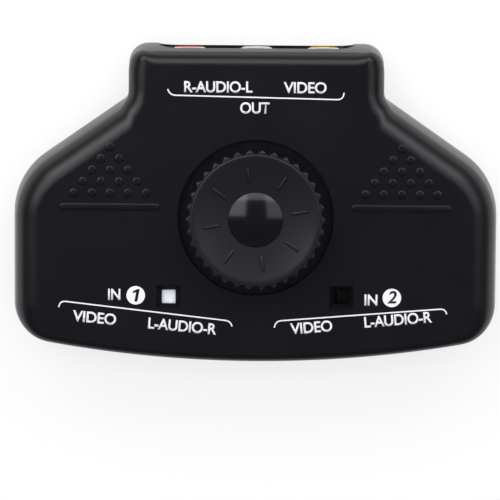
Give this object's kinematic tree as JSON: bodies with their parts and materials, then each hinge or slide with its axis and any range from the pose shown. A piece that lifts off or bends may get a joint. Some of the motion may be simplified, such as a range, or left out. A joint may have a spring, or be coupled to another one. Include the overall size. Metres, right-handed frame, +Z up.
{
  "type": "audio video selector switch",
  "caption": "Flat black switch box with a finger dial that joins one of two rows of phono inputs to the output row at its neck.",
  "frame": {"origin": "on the surface that the switch stands on, under the middle of its width and depth", "axes": "+X to the right with the output row at the back, +Y towards the output row, +Z up"},
  "size_m": [0.125, 0.0815, 0.037],
  "materials": {
    "case_plastic": "fine satin moulded ABS",
    "knob_plastic": "satin moulded ABS",
    "cap_plastic": "polished",
    "flag_plastic": "white moulded styrene",
    "rotor_plastic": "natural acetal",
    "jack_yellow": "moulded",
    "jack_white": "moulded",
    "jack_red": "moulded",
    "nickel": "nickel plate on drawn steel",
    "bronze": "rolled phosphor bronze",
    "copper": "etched copper with carbon print",
    "board": "phenolic paper laminate",
    "spring_steel": "rolled strip",
    "screw_steel": "zinc plated",
    "rubber": "moulded"
  },
  "bodies": {
    "case": {"top_shell": "case_plastic", "bottom_shell": "case_plastic", "in1_video_body": "jack_yellow", "in1_video_barrel": "nickel", "in1_video_contact": "bronze", "in1_left_body": "jack_white", "in1_left_barrel": "nickel", "in1_left_contact": "bronze", "in1_right_body": "jack_red", "in1_right_barrel": "nickel", "in1_right_contact": "bronze", "in2_video_body": "jack_yellow", "in2_video_barrel": "nickel", "in2_video_contact": "bronze", "in2_left_body": "jack_white", "in2_left_barrel": "nickel", "in2_left_contact": "bronze", "in2_right_body": "jack_red", "in2_right_barrel": "nickel", "in2_right_contact": "bronze", "out_video_body": "jack_yellow", "out_video_barrel": "nickel", "out_video_contact": "bronze", "out_left_body": "jack_white", "out_left_barrel": "nickel", "out_left_contact": "bronze", "out_right_body": "jack_red", "out_right_barrel": "nickel", "out_right_contact": "bronze", "circuit_board": "board", "switch_pads": "copper", "detent_spring": "spring_steel", "case_screws": "screw_steel", "board_screws": "screw_steel", "rubber_feet": "rubber"},
    "selector": {"knob": "knob_plastic", "knob_cap": "cap_plastic", "knob_screw": "screw_steel", "rotor": "rotor_plastic", "indicator_flag": "flag_plastic", "wiper_video": "bronze", "wiper_left": "bronze", "wiper_right": "bronze"}
  },
  "joints": [
    {"name": "knob_turn", "type": "hinge", "parent": "case", "child": "selector", "pos_m": [0, -0.00365, 0], "axis": [0, 0, 1], "range_deg": [0, 72], "deforming": ["detent_spring"]}
  ]
}
